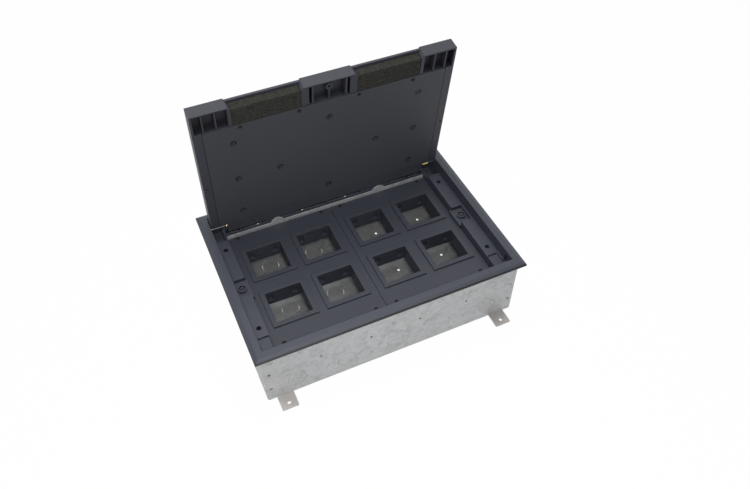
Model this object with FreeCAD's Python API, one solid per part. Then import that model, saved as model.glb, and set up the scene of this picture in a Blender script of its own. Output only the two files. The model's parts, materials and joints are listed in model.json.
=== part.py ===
"""Floor socket box: galvanised back box, moulded floor frame, two socket plates and a hinged lid.

Millimetres. +Z is up, +X runs along the hinge line, +Y points to the hinge side.
The origin is on the floor under the middle of the box, level with the underside of the fixing feet.
The lid is drawn shut and then swung to its open rest pose, so every lid size is a plain size.
"""
import FreeCAD, Part
import math
import os

V = FreeCAD.Vector
Z_UP = V(0, 0, 1)
X_AXIS = V(1, 0, 0)
Y_AXIS = V(0, 1, 0)
SIDES = (-1, 1)

# ---------------------------------------------------------------- driving dimensions
# steel back box; its height is taken up to the underside of the frame's flange
box_length = 364.0
box_width = 255.0
box_height = 95.0
sheet = 1.2
box_corner_r = 2.5
rim_rebate = 0.8

# knockouts and small holes in the box
knockout_r = 12.5
knockout_slit = 0.4
knockout_bridge = 5.0
wall_knockout_z = 27.0
long_wall_knockout_count = 5
long_wall_knockout_end = 42.0
short_wall_knockout_count = 3
short_wall_knockout_end = 57.5
wall_hole_r = 1.8
wall_hole_z = 55.5
wall_hole_end = 7.0
low_hole_z = 23.5
floor_knockout_x = (-105.0, -35.5)
floor_knockout_edge = 41.0
floor_hole_x = (66.7, 139.0)
floor_hole_edge = 45.9
floor_hole_r = 2.0

# fixing feet
foot_thick = 2.0
foot_width = 22.6
foot_reach = 21.5
foot_under = 26.0
foot_corner_r = 1.5
foot_hole_r = 2.6
foot_collar_r = 4.3
foot_collar_h = 0.8
foot_from_end = 23.5
foot_hole_from_wall = 13.8
rivet_r = 2.0
rivet_head_r = 3.6
rivet_head_h = 1.1
rivet_pitch = 12.0
rivet_from_wall = 13.0

# floor frame
flange_lap_side = 8.0
flange_lap_end = 6.5
flange_thick = 4.0
flange_edge = 1.2
flange_bevel = 6.0
frame_corner_r = 1.5
skirt_gap = 0.4
skirt_depth = 36.0
skirt_wall_side = 4.4
skirt_wall_front = 6.9
skirt_wall_back = 2.7
ledge_drop = 14.2
ledge_thick = 3.0
ledge_width = 18.5
front_ledge = 12.0
well_wall = 2.5
rib_thick = 2.0
rib_pitch = 34.0
trench_width = 18.4
trench_drop = 19.0
trench_thick = 3.0
trench_rib_count = 5
trench_rib_pitch = 68.0
trench_slot_lip = 1.4
trench_slot_width = 9.0
trench_slot_depth = 10.0
trench_slot_inner = 52.0
trench_slot_outer = (100.0, 156.0)
trench_slot_end_r = 2.0
trench_boss_r = 3.0
trench_boss_h = 1.5
pit_length = 33.2
pit_drop = 30.0

# shallow pocket in the front end of each side ledge, with a slot in the wall beside it
pocket_inner_rim = 0.7
pocket_outer_rim = 2.8
pocket_from_front = 10.8
pocket_length = 21.4
pocket_depth = 2.8
pocket_corner_r = 1.2
slot_from_front = 12.0
slot_width = 5.5
slot_top_drop = 4.0
slot_depth = 3.0

# levelling screws in open recesses half way along the side ledges
level_pocket_half = 14.7
level_pocket_depth = 5.8
level_floor_reach = 2.7
level_screw_inset = 8.5
level_ring_r = 6.4
level_ring_wall = 1.6
level_ring_h = 3.6
level_head_r = 4.3
level_head_h = 2.4
level_shank_r = 2.5
level_screw_length = 26.0
level_nut_flat = 8.0
level_nut_h = 4.0

# screws that hold the frame to the box, and the brackets under them
frame_screw_inset = 9.0
frame_screw_from_pit = 18.0
frame_screw_r = 2.0
frame_head_r = 3.0
frame_head_h = 2.4
frame_head_sink = 7.5
frame_bore_r = 3.3
frame_boss_r = 5.6
frame_screw_length = 20.0
bracket_thick = 2.0
bracket_width = 26.0
bracket_leg = 22.0
bracket_inset = 1.5

# socket plates
plate_drop = 26.2
plate_thick = 3.0
plate_side_gap = 0.9
plate_front_gap = 1.0
plate_back_gap = 2.0
plate_seam = 0.6
plate_corner_r = 1.0
module_open = 50.0
module_pitch_y = 82.0
module_seam_margin = 9.7
module_side_margin = 9.1
bezel_size = 63.0
bezel_height = 2.6
bezel_corner_r = 0.8
collar_wall = 2.2
collar_depth = 25.0
collar_corner_r = 1.2
clip_pocket_width = 7.0
clip_pocket_height = 11.0
clip_pocket_depth = 4.4
clip_pocket_wall = 1.4
clip_pocket_offset = 17.0
clip_pocket_drop = 1.0
plate_rib_depth = 8.0
plate_screw_inset = 14.8
plate_screw_front = 8.0
plate_screw_back = 3.0
plate_screw_r = 1.5
plate_head_r = 2.5
plate_head_h = 1.3
plate_head_sink = 1.7
plate_screw_length = 9.0
side_lip_width = 3.4
side_lip_thick = 3.0

# steel rails under the front and back edges of the plates
rail_sheet = 1.5
rail_leg = 14.5
rail_back_gap = 0.3
rail_front_gap = 2.5
rail_end_gap = 0.8
rail_upright = 3.9
rail_drop_leg = 10.0
lug_x = 80.5
lug_r = 11.0
lug_top_drop = 15.2
rail_screw_inset = 6.3
rail_screw_r = 1.5
rail_head_r = 2.9
rail_screw_length = 6.5
rail_shelf_length = 11.5

# earth terminal on the inside of the left wall
earth_y = 35.0
earth_z = 24.0
earth_r = 2.5
earth_length = 18.0
earth_washer_r = 5.5
earth_washer_h = 1.0
earth_nut_flat = 8.0
earth_nut_h = 4.0

# lid
lid_gap = 0.3
lid_side_gap = 1.2
lid_front_gap = 1.0
lid_back_gap = 5.3
lid_thick = 17.4
lid_back_r = 3.0
lid_rim = 3.0
lid_recess_depth = 5.0
lid_skin = 3.0
lid_open_deg = 81.5
hinge_from_back = 6.9
hinge_drop = 6.5
band_depth = 30.3
band_wall = 2.0
band_side_wall = 3.0
band_skin = 5.4
band_rib = 1.8
band_rib_inset = (30.3, 14.3)
band_hole_inset = 58.8
band_hole_from_back = 7.4
band_hole_r = 1.5
band_hole_depth = 5.0
outlet_inner_x = 37.0
outlet_side_inset = 49.8
outlet_wall = 4.5
outlet_chamfer = 3.5
centre_bay_half = 21.0
centre_rib = 2.5
centre_slot = 3.5
centre_boss_r = 4.8
centre_boss_from_front = 10.5
centre_boss_bore_r = 1.8
steel_side_inset = 11.4
steel_back_inset = 12.0
steel_thick = 2.0
steel_gap = 0.4
steel_corner_r = 2.0
lid_boss_r = 5.0
lid_cell_rib = 2.0
lid_cell_border = 6.0
lid_screw_inset = 36.4
lid_screw_mid_x = 69.5
lid_screw_front = 30.7
lid_screw_back = 20.0
lid_screw_r = 2.0
lid_head_r = 3.6
lid_head_sink = 0.4
lid_head_bore_r = 4.7
lid_screw_length = 9.0
outlet_screw_inner = 3.2
outlet_screw_outer = 9.0
outlet_screw_from_band = 6.0
outlet_screw_r = 1.5
outlet_head_r = 2.3
outlet_head_sink = 0.8
outlet_head_bore_r = 2.7
outlet_screw_length = 8.0
corner_cut_length = 22.6
corner_cut_depth = 10.0
corner_skin = 4.2
side_dot_inset = 4.3
side_dot_y = 14.5
side_dot_r = 1.3
side_dot_depth = 6.0

# cable flaps in the lid
flap_thick = 5.2
flap_depth = 27.4
flap_chamfer = 2.0
flap_gap = 0.4
flap_bearing = 3.6
flap_pin_r = 1.5
flap_pin_length = 3.0
flap_pin_clear = 0.08
flap_finger_r = 9.0
flap_finger_depth = 1.4

# foam pads in the cable outlets
foam_setback = 3.3
foam_gap = 0.3
foam_edge_r = 0.8

# hinge pins, their bushes in the lid and the collar of the right pin
pin_r = 2.3
pin_clear = 0.07
pin_reach = 12.2
pin_end_gap = 0.8
bush_r = 3.5
bush_length = 13.5
bush_flange_r = 4.0
bush_flange = 1.5
collar_r = 4.0
collar_from_ear = 5.3
collar_length = 8.5

# small clearances
touch = 0.05
screw_clear = 0.3

# ---------------------------------------------------------------- levels worked out
base_z = foot_thick
lip_z = base_z + box_height
rim_z = lip_z + rim_rebate
flange_z = lip_z + flange_thick
ledge_z = lip_z - ledge_drop
plate_z = lip_z - plate_drop
plate_under = plate_z - plate_thick
rail_z = plate_under - rail_sheet
trench_z = lip_z - trench_drop
pit_z = lip_z - pit_drop
skirt_z = lip_z - skirt_depth
level_floor_z = ledge_z - level_pocket_depth
lid_under = ledge_z + lid_gap
lid_top = lid_under + lid_thick
hinge_z = lip_z - hinge_drop
flap_z = lid_top - flap_thick / 2

# ---------------------------------------------------------------- places worked out
inner_half_x = box_length / 2 - sheet
inner_half_y = box_width / 2 - sheet
skirt_half_x = inner_half_x - skirt_gap
skirt_half_y = inner_half_y - skirt_gap
foot_centre_x = box_length / 2 - foot_from_end
half_recess = skirt_half_x - skirt_wall_side
recess_front = skirt_wall_front - skirt_half_y
recess_back = skirt_half_y - skirt_wall_back
half_well = half_recess - ledge_width
well_front = recess_front + front_ledge
trench_front = recess_back - trench_width
pit_front = recess_back - pit_length
frame_screw_x = half_well + frame_screw_inset
frame_screw_y = pit_front - frame_screw_from_pit
level_screw_x = half_well + level_screw_inset

rail_back_y = trench_front - rail_back_gap
rail_front_y = well_front + rail_front_gap
rail_middle_y = (rail_front_y + rail_leg / 2, rail_back_y - rail_leg / 2)
rail_screw_x = half_well - rail_screw_inset
plate_outer_x = half_well - plate_side_gap
plate_front = well_front + plate_front_gap
plate_back = rail_back_y - rail_sheet - plate_back_gap
plate_screw_x = (plate_screw_inset, half_well - plate_screw_inset)
plate_screw_y = (plate_front + plate_screw_front, plate_back - plate_screw_back)
module_x = (plate_seam / 2 + module_seam_margin + bezel_size / 2,
            plate_outer_x - module_side_margin - bezel_size / 2)

lid_half = half_recess - lid_side_gap
lid_front = recess_front + lid_front_gap
lid_back_y = recess_back - lid_back_gap
hinge_y = lid_back_y - hinge_from_back
band_back = lid_front + band_depth
steel_half_x = lid_half - steel_side_inset
steel_back_y = hinge_y - steel_back_inset
lid_screw_x = steel_half_x - lid_screw_inset
corner_cut_x = lid_half - corner_cut_length
corner_cut_y = hinge_y - corner_cut_depth
outlet_outer_x = lid_half - outlet_side_inset
outlet_centre_x = (outlet_inner_x + outlet_outer_x) / 2
flap_pivot_y = lid_front + flap_depth
flap_bay_inner = outlet_inner_x - flap_bearing
flap_bay_outer = outlet_outer_x + flap_bearing
flap_bay_back = flap_pivot_y + flap_thick / 2 + flap_gap
pin_inner_x = corner_cut_x - pin_reach
pin_outer_x = skirt_half_x - pin_end_gap


# ---------------------------------------------------------------- small helpers
def block(x0, x1, y0, y1, z0, z1):
    """Axis-aligned block between two corners, in any order along each axis."""
    low = V(min(x0, x1), min(y0, y1), min(z0, z1))
    return Part.makeBox(abs(x1 - x0), abs(y1 - y0), abs(z1 - z0), low)


def rod(x, y, z, radius, length, axis=Z_UP):
    """Cylinder that starts at a point and runs along an axis."""
    return Part.makeCylinder(radius, length, V(x, y, z), axis)


def join(shapes):
    """One clean solid from pieces that touch or overlap."""
    shapes = list(shapes)
    if len(shapes) == 1:
        return shapes[0]
    return shapes[0].fuse(shapes[1:]).removeSplitter()


def cut(shape, tools):
    """The shape with every tool taken away."""
    tools = list(tools)
    if not tools:
        return shape
    return shape.cut(Part.makeCompound(tools))


def upright_edges(shape):
    """Edges that run straight up."""
    found = []
    for edge in shape.Edges:
        ends = edge.Vertexes
        if len(ends) < 2:
            continue
        run = ends[1].Point - ends[0].Point
        if run.Length > 0 and abs(run.z) > 0.999 * run.Length:
            found.append(edge)
    return found


def rounded_block(x0, x1, y0, y1, z0, z1, radius):
    """Block with its four upright edges rounded."""
    shape = block(x0, x1, y0, y1, z0, z1)
    return shape.makeFillet(radius, upright_edges(shape))


def hex_prism(x, y, z, flat, height, axis=Z_UP):
    """Hexagon nut blank, measured across its flats, standing on a point."""
    radius = flat / math.sqrt(3)
    corners = [V(radius * math.cos(math.radians(60 * k)), radius * math.sin(math.radians(60 * k)), 0)
               for k in range(7)]
    prism = Part.Face(Part.makePolygon(corners)).extrude(V(0, 0, height))
    prism.Placement = FreeCAD.Placement(V(x, y, z), FreeCAD.Rotation(Z_UP, axis))
    return prism


def mirror_x(shape):
    """The same piece on the other side of the middle."""
    return shape.mirror(V(0, 0, 0), X_AXIS)


def swing_open(shape):
    """Lid piece from its shut place to the open rest pose."""
    opened = shape.copy()
    opened.rotate(V(0, hinge_y, hinge_z), X_AXIS, -lid_open_deg)
    return opened


def countersunk_screw(x, y, z, shank_r, head_r, length, down=-1):
    """Countersunk screw whose flat head face lies at z; down is -1, or 1 for a screw driven upwards."""
    head_h = head_r - shank_r
    axis = V(0, 0, down)
    head = Part.makeCone(head_r, shank_r, head_h, V(x, y, z), axis)
    shank = rod(x, y, z + down * head_h, shank_r, length - head_h, axis)
    return join([head, shank])


def countersink(x, y, z, shank_r, head_r, length, down=-1):
    """Hole that a countersunk screw sits in with clearance."""
    return countersunk_screw(x, y, z, shank_r + screw_clear, head_r + screw_clear, length, down)


def pan_screw(x, y, z, shank_r, head_r, head_h, length):
    """Pan head screw standing with the underside of its head at z."""
    head = rod(x, y, z, head_r, head_h)
    top = [e for e in head.Edges if abs(e.BoundBox.ZMin - (z + head_h)) < touch and e.BoundBox.ZLength < touch]
    head = head.makeFillet(head_h * 0.45, top)
    return join([head, rod(x, y, z, shank_r, length, V(0, 0, -1))])


# ---------------------------------------------------------------- steel back box and its feet
def knockout_slits(radius):
    """Flat ring slit standing on the origin, left whole at two bridges; 2 sheets tall."""
    depth = 4 * sheet
    ring = rod(0, 0, -depth / 2, radius, depth).cut(rod(0, 0, -depth / 2, radius - knockout_slit, depth))
    bridge = block(-knockout_bridge / 2, knockout_bridge / 2, -2 * radius, 2 * radius, -depth, depth)
    return ring.cut(bridge)


def placed(shape, x, y, z, axis=Z_UP):
    """Copy of a shape drawn about +Z, turned to an axis and moved."""
    copy = shape.copy()
    copy.Placement = FreeCAD.Placement(V(x, y, z), FreeCAD.Rotation(Z_UP, axis))
    return copy


def spread(count, pitch):
    """Evenly spaced places about zero."""
    return [pitch * (k - (count - 1) / 2) for k in range(count)]


def wall_openings(side):
    """Knockouts and small holes of one long and one short wall."""
    slit = knockout_slits(knockout_r)
    wall_y = side * (box_width - sheet) / 2
    wall_x = side * (box_length - sheet) / 2
    long_pitch = (box_length - 2 * long_wall_knockout_end) / (long_wall_knockout_count - 1)
    short_pitch = (box_width - 2 * short_wall_knockout_end) / (short_wall_knockout_count - 1)
    end_x = box_length / 2 - wall_hole_end
    holes = [(x, wall_hole_z) for x in spread(long_wall_knockout_count - 1, long_pitch)]
    holes += [(sx * end_x, z) for sx in SIDES for z in (wall_hole_z, low_hole_z)]
    tools = [rod(x, wall_y - 2 * sheet, base_z + z, wall_hole_r, 4 * sheet, Y_AXIS) for x, z in holes]
    for x in spread(long_wall_knockout_count, long_pitch):
        tools.append(placed(slit, x, wall_y, base_z + wall_knockout_z, Y_AXIS))
    for y in spread(short_wall_knockout_count, short_pitch):
        tools.append(placed(slit, wall_x, y, base_z + wall_knockout_z, X_AXIS))
    return tools


def floor_openings():
    """Three rows of knockouts and of small holes in the floor."""
    slit = knockout_slits(knockout_r)
    tools = []
    for y in spread(3, box_width / 2 - floor_knockout_edge):
        tools += [placed(slit, x, y, base_z + sheet / 2) for x in floor_knockout_x]
    for y in spread(3, box_width / 2 - floor_hole_edge):
        tools += [rod(x, y, base_z - sheet, floor_hole_r, 3 * sheet) for x in floor_hole_x]
    return tools


def foot_rivet_places():
    """Middle of every foot rivet as x, y."""
    places = []
    for sx in SIDES:
        for sy in SIDES:
            for dx in (-rivet_pitch / 2, rivet_pitch / 2):
                places.append((sx * foot_centre_x + dx, sy * (box_width / 2 - rivet_from_wall)))
    return places


def make_back_box():
    outer = rounded_block(-box_length / 2, box_length / 2, -box_width / 2, box_width / 2,
                          base_z, rim_z, box_corner_r)
    inner = rounded_block(-inner_half_x, inner_half_x, -inner_half_y, inner_half_y,
                          base_z + sheet, rim_z + sheet, box_corner_r - sheet)
    tools = wall_openings(-1) + wall_openings(1) + floor_openings()
    tools += [rod(x, y, base_z - sheet, rivet_r + touch, 4 * sheet) for x, y in foot_rivet_places()]
    tools.append(rod(-inner_half_x - 2 * sheet, earth_y, base_z + earth_z, earth_r + touch, 4 * sheet, X_AXIS))
    return cut(outer.cut(inner), tools)


def make_foot(sx, sy):
    """Flat strap under the box with a collared fixing hole outside its wall."""
    wall = box_width / 2
    x = sx * foot_centre_x
    strap = rounded_block(x - foot_width / 2, x + foot_width / 2, sy * (wall - foot_under),
                          sy * (wall + foot_reach), 0, foot_thick, foot_corner_r)
    hole_y = sy * (wall + foot_hole_from_wall)
    shape = join([strap, rod(x, hole_y, 0, foot_collar_r, foot_thick + foot_collar_h)])
    tools = [rod(x, hole_y, -1, foot_hole_r, foot_thick + foot_collar_h + 2)]
    for px, py in foot_rivet_places():
        if px * sx > 0 and py * sy > 0:
            tools.append(rod(px, py, -1, rivet_r + touch, foot_thick + 2))
    return cut(shape, tools)


def make_foot_rivets():
    """Rivets with a low head inside the box and a flush tail under the foot."""
    rivets = []
    top = base_z + sheet
    for x, y in foot_rivet_places():
        rivets.append(pan_screw(x, y, top, rivet_r, rivet_head_r, rivet_head_h, top))
    return rivets


def bracket_places():
    """Middle of every frame bracket as side, y and the radius of its hole."""
    places = [(sx, sy * frame_screw_y, frame_screw_r) for sx in SIDES for sy in SIDES]
    return places + [(sx, 0.0, level_shank_r) for sx in SIDES]


def make_frame_brackets():
    """Angle brackets welded inside the side walls, which the frame stands on and screws to."""
    brackets = []
    for sx, y, hole_r in bracket_places():
        half = bracket_width / 2
        shelf = block(sx * (half_well + bracket_inset), sx * inner_half_x, y - half, y + half,
                      skirt_z - bracket_thick, skirt_z)
        leg = block(sx * (inner_half_x - bracket_thick), sx * inner_half_x, y - half, y + half,
                    skirt_z - bracket_leg, skirt_z)
        x = sx * (frame_screw_x if y else level_screw_x)
        hole = rod(x, y, skirt_z - 2 * bracket_thick, hole_r + touch, 3 * bracket_thick)
        brackets.append(join([shelf, leg]).cut(hole))
    return brackets


def make_levelling_nuts():
    """Hexagon nuts welded under the middle brackets."""
    nuts = []
    z = skirt_z - bracket_thick - level_nut_h
    for sx in SIDES:
        nut = hex_prism(sx * level_screw_x, 0, z, level_nut_flat, level_nut_h)
        nuts.append(nut.cut(rod(sx * level_screw_x, 0, z - 1, level_shank_r + touch, level_nut_h + 2)))
    return nuts


# ---------------------------------------------------------------- floor frame
def make_flange():
    """Flat trim flange with a bevelled outer edge."""
    x = box_length / 2 + flange_lap_side
    y = box_width / 2 + flange_lap_end
    edge = rounded_block(-x, x, -y, y, lip_z, lip_z + flange_edge, frame_corner_r)
    foot_wire = Part.makePolygon([V(-x, -y, lip_z + flange_edge), V(x, -y, lip_z + flange_edge),
                                  V(x, y, lip_z + flange_edge), V(-x, y, lip_z + flange_edge),
                                  V(-x, -y, lip_z + flange_edge)])
    tx = x - flange_bevel
    ty = y - flange_bevel
    top_wire = Part.makePolygon([V(-tx, -ty, flange_z), V(tx, -ty, flange_z), V(tx, ty, flange_z),
                                 V(-tx, ty, flange_z), V(-tx, -ty, flange_z)])
    bevel = Part.makeLoft([foot_wire, top_wire], True)
    corner_trim = rounded_block(-x, x, -y, y, lip_z, flange_z, frame_corner_r)
    rebate_x = box_length / 2 + skirt_gap
    rebate_y = box_width / 2 + skirt_gap
    rebate = rounded_block(-rebate_x, rebate_x, -rebate_y, rebate_y, lip_z - 1, rim_z, box_corner_r)
    return join([edge, bevel.common(corner_trim)]).cut(rebate)


def make_side_ledge(sx):
    """Ledge floor, well wall, bosses, pockets and ribs of one side, before its recesses are cut."""
    parts = [
        block(sx * half_well, sx * skirt_half_x, recess_front, pit_front, ledge_z - ledge_thick, ledge_z),
        block(sx * half_well, sx * (half_well + well_wall), well_front, pit_front, skirt_z, ledge_z),
        block(sx * half_well, sx * skirt_half_x, pit_front - rib_thick, pit_front, pit_z, ledge_z),
        block(sx * (half_well - side_lip_width), sx * (half_well + well_wall),
              rail_front_y + rail_leg + lid_gap, rail_back_y - rail_leg - lid_gap,
              plate_under - side_lip_thick, plate_under),
    ]
    for sy in SIDES:
        parts.append(rod(sx * frame_screw_x, sy * frame_screw_y, skirt_z, frame_boss_r,
                         ledge_z - skirt_z))
    half = level_pocket_half + rib_thick
    parts.append(block(sx * half_well, sx * skirt_half_x, -half, half, level_floor_z - ledge_thick, ledge_z))
    parts.append(rod(sx * level_screw_x, 0, skirt_z, frame_boss_r, level_floor_z - skirt_z))
    parts.append(block(sx * (half_well - level_floor_reach), sx * (half_well + well_wall), -half, half,
                       plate_z + lid_gap, level_floor_z))
    start = recess_front + pocket_from_front
    parts.append(block(sx * half_well, sx * skirt_half_x, start - rib_thick,
                       start + pocket_length + rib_thick, ledge_z - pocket_depth - ledge_thick, ledge_z))
    for y in (-rib_pitch, rib_pitch):
        parts.append(block(sx * half_well, sx * skirt_half_x, y - rib_thick / 2, y + rib_thick / 2,
                           pit_z, ledge_z))
    return parts


def frame_recess_tools(sx):
    """Pockets, screw holes and the side slot of one ledge."""
    pocket_z = ledge_z - pocket_depth
    pocket_start = recess_front + pocket_from_front
    rim_x = half_recess - pocket_outer_rim
    slot_start = recess_front + slot_from_front
    slot_end = slot_start + slot_width
    tools = [
        block(sx * (half_well - level_floor_reach - 1), sx * rim_x, -level_pocket_half, level_pocket_half,
              level_floor_z, ledge_z + 1),
        rod(sx * level_screw_x, 0, skirt_z - 1, level_shank_r + screw_clear, skirt_depth),
        rounded_block(sx * (half_well + pocket_inner_rim), sx * rim_x, pocket_start,
                      pocket_start + pocket_length, pocket_z, ledge_z + 1, pocket_corner_r),
        block(sx * rim_x, sx * (half_recess + touch), slot_start, slot_end, pocket_z, ledge_z + 1),
        block(sx * half_recess, sx * (half_recess + slot_depth), slot_start, slot_end, pocket_z,
              lip_z - slot_top_drop),
    ]
    for sy in SIDES:
        x = sx * frame_screw_x
        y = sy * frame_screw_y
        tools.append(rod(x, y, skirt_z - 1, frame_screw_r + screw_clear, ledge_z - skirt_z + 2))
        tools.append(rod(x, y, ledge_z - frame_head_sink, frame_bore_r, frame_head_sink + 1))
    return tools


def level_ring(sx):
    """Raised ring round a levelling screw head."""
    outer = rod(sx * level_screw_x, 0, level_floor_z - touch, level_ring_r, level_ring_h + touch)
    inner = rod(sx * level_screw_x, 0, level_floor_z - 1, level_ring_r - level_ring_wall, level_ring_h + 2)
    return outer.cut(inner)


def rail_shelf(sx, sy):
    """Corner shelf that a rail end is screwed to."""
    outer_y = trench_front if sy > 0 else well_front
    inner_y = rail_back_y - rail_leg if sy > 0 else rail_front_y + rail_leg
    return block(sx * (half_well - rail_shelf_length), sx * (half_well + well_wall), inner_y, outer_y,
                 skirt_z, rail_z)


def rail_screw_places():
    return [(sx * rail_screw_x, y) for sx in SIDES for y in rail_middle_y]


def trench_slots():
    """Three long slots sunk into the back trench, with a round boss left in the middle one."""
    y0 = trench_front + trench_slot_lip
    y1 = y0 + trench_slot_width
    z0 = trench_z - trench_slot_depth
    spans = [(-trench_slot_inner, trench_slot_inner)]
    spans += [tuple(sorted(sx * x for x in trench_slot_outer)) for sx in SIDES]
    slots = [rounded_block(x0, x1, y0, y1, z0, trench_z + 1, trench_slot_end_r) for x0, x1 in spans]
    boss = rod(0, y0 + trench_boss_r, z0 - 1, trench_boss_r, trench_slot_depth + trench_boss_h + 2)
    return [slot.cut(boss) for slot in slots]


def trench_boss():
    """Round boss in the middle of the trench, standing on the middle rib."""
    y = trench_front + trench_slot_lip + trench_boss_r
    return rod(0, y, skirt_z, trench_boss_r, trench_z + trench_boss_h - skirt_z)


def make_floor_frame():
    skirt = rounded_block(-skirt_half_x, skirt_half_x, -skirt_half_y, skirt_half_y, skirt_z,
                          lip_z + flange_edge, frame_corner_r)
    body = join([make_flange(), skirt])
    body = body.cut(block(-half_recess, half_recess, recess_front, recess_back, skirt_z - 1, flange_z + 1))
    parts = [body]
    for sx in SIDES:
        parts += make_side_ledge(sx)
        pit_floor = block(sx * half_well, sx * skirt_half_x, pit_front - rib_thick, skirt_half_y,
                          pit_z - ledge_thick, pit_z)
        parts.append(pit_floor)
        parts.append(block(sx * half_well, sx * (half_well + well_wall), pit_front, skirt_half_y,
                           pit_z - ledge_thick, trench_z))
        for sy in SIDES:
            parts.append(rail_shelf(sx, sy))
    # front ledge and its wall, back trench floor and its cross wall
    parts.append(block(-skirt_half_x, skirt_half_x, -skirt_half_y, well_front,
                       ledge_z - ledge_thick, ledge_z))
    parts.append(block(-half_well - well_wall, half_well + well_wall, well_front - well_wall, well_front,
                       skirt_z, ledge_z))
    parts.append(block(-half_well, half_well, trench_front, skirt_half_y, trench_z - trench_thick, trench_z))
    parts.append(block(-half_well, half_well, trench_front, trench_front + well_wall,
                       skirt_z, trench_z))
    for x in spread(trench_rib_count, trench_rib_pitch):
        parts.append(block(x - rib_thick / 2, x + rib_thick / 2, trench_front, skirt_half_y,
                           skirt_z, trench_z))
    parts.append(trench_boss())
    frame = join(parts)
    tools = trench_slots()
    for sx in SIDES:
        tools += frame_recess_tools(sx)
    frame = cut(frame, tools)
    frame = join([frame] + [level_ring(sx) for sx in SIDES])
    seats = [rod(x, y, skirt_z - 1, rail_screw_r + touch, rail_z - skirt_z + 2)
             for x, y in rail_screw_places()]
    seats.append(rod(-pin_outer_x, hinge_y, hinge_z, pin_r + touch, 2 * pin_outer_x, X_AXIS))
    return cut(frame, seats)


# ---------------------------------------------------------------- hinge pins, bushes and collar
def make_hinge_pin(sx):
    """Steel rod held in the side wall of the frame that reaches into the lid."""
    pin = rod(pin_inner_x, hinge_y, hinge_z, pin_r, pin_outer_x - pin_inner_x, X_AXIS)
    return pin if sx > 0 else mirror_x(pin)


def make_hinge_collar():
    """Brass collar on the right pin, with a set screw hole."""
    start = corner_cut_x + collar_from_ear
    ring = rod(start, hinge_y, hinge_z, collar_r, collar_length, X_AXIS)
    return ring.cut(rod(start - 1, hinge_y, hinge_z, pin_r + touch, collar_length + 2, X_AXIS))


def bush_solid(sx, spare, bore):
    """Flanged bush of a lid ear; spare is added round its outside and bore is its hole radius."""
    barrel = rod(corner_cut_x - bush_length, hinge_y, hinge_z, bush_r + spare, bush_length + touch, X_AXIS)
    flange = rod(corner_cut_x, hinge_y, hinge_z, bush_flange_r, bush_flange, X_AXIS)
    shape = join([barrel, flange])
    if bore:
        shape = shape.cut(rod(pin_inner_x - 1, hinge_y, hinge_z, bore, box_length / 2, X_AXIS))
    return shape if sx > 0 else mirror_x(shape)


def make_hinge_bush(sx):
    return bush_solid(sx, 0, pin_r + pin_clear)


# ---------------------------------------------------------------- frame fasteners
def make_frame_screws():
    z = ledge_z - frame_head_sink
    return [pan_screw(sx * frame_screw_x, sy * frame_screw_y, z, frame_screw_r, frame_head_r,
                      frame_head_h, frame_screw_length) for sx in SIDES for sy in SIDES]


def make_levelling_screws():
    return [pan_screw(sx * level_screw_x, 0, level_floor_z, level_shank_r, level_head_r, level_head_h,
                      level_screw_length) for sx in SIDES]


# ---------------------------------------------------------------- rails
def rail_holes():
    """Plate screw holes and end screw countersinks of both rails."""
    tools = [rod(x, y, rail_z - 1, plate_screw_r + touch, rail_sheet + 2) for x, y in plate_screw_places()]
    tools += [countersink(x, y, plate_under, rail_screw_r, rail_head_r, rail_screw_length)
              for x, y in rail_screw_places()]
    return tools


def make_rear_rail():
    """Angle rail whose upright carries two half-round lugs."""
    half = half_well - rail_end_gap
    leg = block(-half, half, rail_back_y - rail_leg, rail_back_y, rail_z, plate_under)
    upright = block(-half, half, rail_back_y - rail_sheet, rail_back_y, rail_z, plate_z + rail_upright)
    pieces = [leg, upright]
    for sx in SIDES:
        centre_z = lip_z - lug_top_drop - lug_r
        lug = rod(sx * lug_x, rail_back_y - rail_sheet, centre_z, lug_r, rail_sheet, Y_AXIS)
        pieces.append(lug.common(block(-half, half, 0, rail_back_y, rail_z, lip_z)))
    return cut(join(pieces), rail_holes())


def make_front_rail():
    """Angle rail with its second leg turned down."""
    half = half_well - rail_end_gap
    leg = block(-half, half, rail_front_y, rail_front_y + rail_leg, rail_z, plate_under)
    inner = half_well - rail_shelf_length - rail_end_gap
    down = block(-inner, inner, rail_front_y, rail_front_y + rail_sheet, plate_under - rail_drop_leg,
                 plate_under)
    return cut(join([leg, down]), rail_holes())


def make_rail_screws():
    return [countersunk_screw(x, y, plate_under - touch, rail_screw_r, rail_head_r, rail_screw_length)
            for x, y in rail_screw_places()]


# ---------------------------------------------------------------- socket plates
def module_places():
    """Middles of the four module openings of the right plate."""
    return [(x, y) for x in module_x for y in spread(2, module_pitch_y)]


def plate_screw_places():
    """Every plate screw of both plates as x, y."""
    return [(sx * x, y) for sx in SIDES for x in plate_screw_x for y in plate_screw_y]


def clip_pockets(x, y):
    """Closed pockets in the front and back collar walls that take the module clips.

    Gives the housings that stand outside the collar and the pockets to cut."""
    housings = []
    tools = []
    half = module_open / 2
    top = plate_under - clip_pocket_drop
    low = top - clip_pocket_height
    half_width = clip_pocket_width / 2
    for sx in SIDES:
        wx = x + sx * clip_pocket_offset
        for sy in SIDES:
            inner = y + sy * half
            outer = inner + sy * clip_pocket_depth
            tools.append(block(wx - half_width, wx + half_width, inner - sy, outer, low, top))
            housings.append(block(wx - half_width - clip_pocket_wall, wx + half_width + clip_pocket_wall,
                                  inner + sy * touch, outer + sy * clip_pocket_wall,
                                  low - clip_pocket_wall, plate_z))
    return housings, tools


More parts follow.
